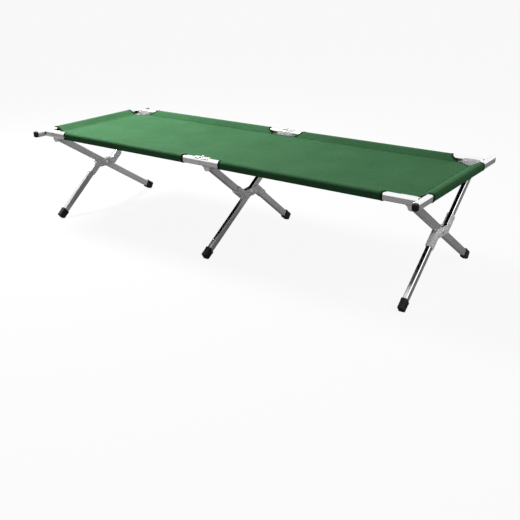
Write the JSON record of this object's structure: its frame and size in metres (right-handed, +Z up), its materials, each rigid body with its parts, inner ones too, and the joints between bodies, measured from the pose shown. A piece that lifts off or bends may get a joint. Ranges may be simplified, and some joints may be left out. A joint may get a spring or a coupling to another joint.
{
  "type": "folding camp bed",
  "caption": "Folding camp bed with a cloth deck on two side rails, crossed aluminium legs, end bars and rubber feet.",
  "frame": {"origin": "centre of the bounding box at the floor, under the middle of the bed", "axes": "+X along the bed towards the end with the mirrored leg swing, +Y across towards the rear rail, +Z up"},
  "size_m": [1.888, 0.7474, 0.4322],
  "materials": {
    "polished_aluminium": "polished",
    "dull_aluminium": "satin",
    "zinc_steel": "zinc plated",
    "black_rubber": "matte",
    "green_polyester": "woven"
  },
  "bodies": {
    "front_left": {"deck_cloth_left": "green_polyester", "front_hinge_leaf_left": "zinc_steel", "front_rail_left": "polished_aluminium", "front_rail_plug_left": "black_rubber", "front_sleeve_left": "green_polyester", "left_hanger_front": "dull_aluminium"},
    "front_right": {"deck_cloth_right": "green_polyester", "front_hinge_leaf_right": "zinc_steel", "front_hinge_pin": "zinc_steel", "front_rail_plug_right": "black_rubber", "front_rail_right": "polished_aluminium", "front_sleeve_right": "green_polyester", "mid_hanger_front": "dull_aluminium", "right_hanger_front": "dull_aluminium"},
    "end_bar_left": {"end_bar_left": "polished_aluminium", "end_bar_left_cap": "black_rubber", "end_hem_left": "green_polyester"},
    "end_bar_right": {"end_bar_right": "polished_aluminium", "end_bar_right_cap": "black_rubber", "end_hem_right": "green_polyester"},
    "left_front_leg": {"left_front_foot_cap": "black_rubber", "left_front_leg": "polished_aluminium"},
    "rear_left": {"left_hanger_rear": "dull_aluminium", "rear_hinge_leaf_left": "zinc_steel", "rear_rail_left": "polished_aluminium", "rear_rail_plug_left": "black_rubber", "rear_sleeve_left": "green_polyester"},
    "left_rear_leg": {"left_hub_bracket": "dull_aluminium", "left_hub_pin": "zinc_steel", "left_rear_foot_cap": "black_rubber", "left_rear_leg_lower": "polished_aluminium", "left_rear_leg_upper": "polished_aluminium"},
    "left_front_yoke": {"left_yoke_front": "dull_aluminium"},
    "left_rear_yoke": {"left_yoke_rear": "dull_aluminium"},
    "mid_front_leg": {"mid_front_foot_cap": "black_rubber", "mid_front_leg_lower": "polished_aluminium", "mid_front_leg_upper": "polished_aluminium", "mid_hub_bracket": "dull_aluminium", "mid_hub_pin": "zinc_steel"},
    "rear_right": {"mid_hanger_rear": "dull_aluminium", "rear_hinge_leaf_right": "zinc_steel", "rear_hinge_pin": "zinc_steel", "rear_rail_plug_right": "black_rubber", "rear_rail_right": "polished_aluminium", "rear_sleeve_right": "green_polyester", "right_hanger_rear": "dull_aluminium"},
    "mid_rear_leg": {"mid_rear_foot_cap": "black_rubber", "mid_rear_leg": "polished_aluminium"},
    "mid_front_yoke": {"mid_yoke_front": "dull_aluminium"},
    "mid_rear_yoke": {"mid_yoke_rear": "dull_aluminium"},
    "right_front_leg": {"right_front_foot_cap": "black_rubber", "right_front_leg": "polished_aluminium"},
    "right_rear_leg": {"right_hub_bracket": "dull_aluminium", "right_hub_pin": "zinc_steel", "right_rear_foot_cap": "black_rubber", "right_rear_leg_lower": "polished_aluminium", "right_rear_leg_upper": "polished_aluminium"},
    "right_front_yoke": {"right_yoke_front": "dull_aluminium"},
    "right_rear_yoke": {"right_yoke_rear": "dull_aluminium"}
  },
  "joints": [
    {"name": "fold_in_half", "type": "hinge", "parent": "front_right", "child": "front_left", "pos_m": [0, -0.30935, 0.4285], "axis": [0, 1, 0], "range_deg": [0, 178]},
    {"name": "mid_legs_swing", "type": "hinge", "parent": "front_right", "child": "mid_front_yoke", "pos_m": [0.008, -0.27135, 0.38], "axis": [0, -1, 0], "range_deg": [0, 90]},
    {"name": "scissor_close", "type": "hinge", "parent": "mid_front_yoke", "child": "mid_front_leg", "pos_m": [0.008, -0.27135, 0.38], "axis": [-1, 0, 0], "range_deg": [0, 52.2], "deforming": ["deck_cloth_left", "end_hem_left", "deck_cloth_right", "end_hem_right"]},
    {"name": "mid_scissor_hub", "type": "hinge", "parent": "mid_front_leg", "child": "mid_rear_leg", "pos_m": [0.008, -0.00535, 0.21102], "axis": [1, 0, 0], "range_deg": [0, 104.4]},
    {"name": "mid_scissor_rear", "type": "hinge", "parent": "mid_rear_leg", "child": "mid_rear_yoke", "pos_m": [0.008, 0.26065, 0.38], "axis": [-1, 0, 0], "range_deg": [0, 52.2]},
    {"name": "mid_rear_swing", "type": "hinge", "parent": "mid_rear_yoke", "child": "rear_right", "pos_m": [0.008, 0.26065, 0.38], "axis": [0, 1, 0], "range_deg": [0, 90]},
    {"name": "rear_fold_in_half", "type": "hinge", "parent": "rear_right", "child": "rear_left", "pos_m": [0, 0.29865, 0.4285], "axis": [0, 1, 0], "range_deg": [0, 178]},
    {"name": "left_legs_swing", "type": "hinge", "parent": "front_left", "child": "left_front_yoke", "pos_m": [-0.885, -0.27135, 0.38], "axis": [0, -1, 0], "range_deg": [0, 90]},
    {"name": "left_scissor_top", "type": "hinge", "parent": "left_front_yoke", "child": "left_front_leg", "pos_m": [-0.885, -0.27135, 0.38], "axis": [-1, 0, 0], "range_deg": [0, 52.2]},
    {"name": "left_scissor_hub", "type": "hinge", "parent": "left_front_leg", "child": "left_rear_leg", "pos_m": [-0.885, -0.00535, 0.21102], "axis": [1, 0, 0], "range_deg": [0, 104.4]},
    {"name": "left_rear_swing", "type": "hinge", "parent": "rear_left", "child": "left_rear_yoke", "pos_m": [-0.885, 0.26065, 0.38], "axis": [0, -1, 0], "range_deg": [0, 90]},
    {"name": "right_legs_swing", "type": "hinge", "parent": "front_right", "child": "right_front_yoke", "pos_m": [0.885, -0.27135, 0.38], "axis": [0, 1, 0], "range_deg": [0, 80]},
    {"name": "right_scissor_top", "type": "hinge", "parent": "right_front_yoke", "child": "right_front_leg", "pos_m": [0.885, -0.27135, 0.38], "axis": [-1, 0, 0], "range_deg": [0, 52.2]},
    {"name": "right_scissor_hub", "type": "hinge", "parent": "right_front_leg", "child": "right_rear_leg", "pos_m": [0.885, -0.00535, 0.21102], "axis": [1, 0, 0], "range_deg": [0, 104.4]},
    {"name": "right_rear_swing", "type": "hinge", "parent": "rear_right", "child": "right_rear_yoke", "pos_m": [0.885, 0.26065, 0.38], "axis": [0, 1, 0], "range_deg": [0, 80]},
    {"name": "end_bar_left_pull", "type": "slide", "parent": "front_left", "child": "end_bar_left", "axis": [-1, 0, 0], "range_m": [0, 0.015], "stiffness_N_per_m": 400, "springref_m": -0.005},
    {"name": "end_bar_right_pull", "type": "slide", "parent": "front_right", "child": "end_bar_right", "axis": [1, 0, 0], "range_m": [0, 0.015], "stiffness_N_per_m": 400, "springref_m": -0.005}
  ],
  "couplings": [
    {"joint": "mid_scissor_hub", "follows": "scissor_close", "ratio": 2},
    {"joint": "mid_scissor_rear", "follows": "scissor_close", "ratio": 1},
    {"joint": "mid_rear_swing", "follows": "mid_legs_swing", "ratio": 1},
    {"joint": "rear_fold_in_half", "follows": "fold_in_half", "ratio": 1},
    {"joint": "left_scissor_top", "follows": "scissor_close", "ratio": 1},
    {"joint": "left_scissor_hub", "follows": "scissor_close", "ratio": 2},
    {"joint": "left_rear_swing", "follows": "left_legs_swing", "ratio": 1},
    {"joint": "right_scissor_top", "follows": "scissor_close", "ratio": 1},
    {"joint": "right_scissor_hub", "follows": "scissor_close", "ratio": 2},
    {"joint": "right_rear_swing", "follows": "right_legs_swing", "ratio": 1}
  ]
}
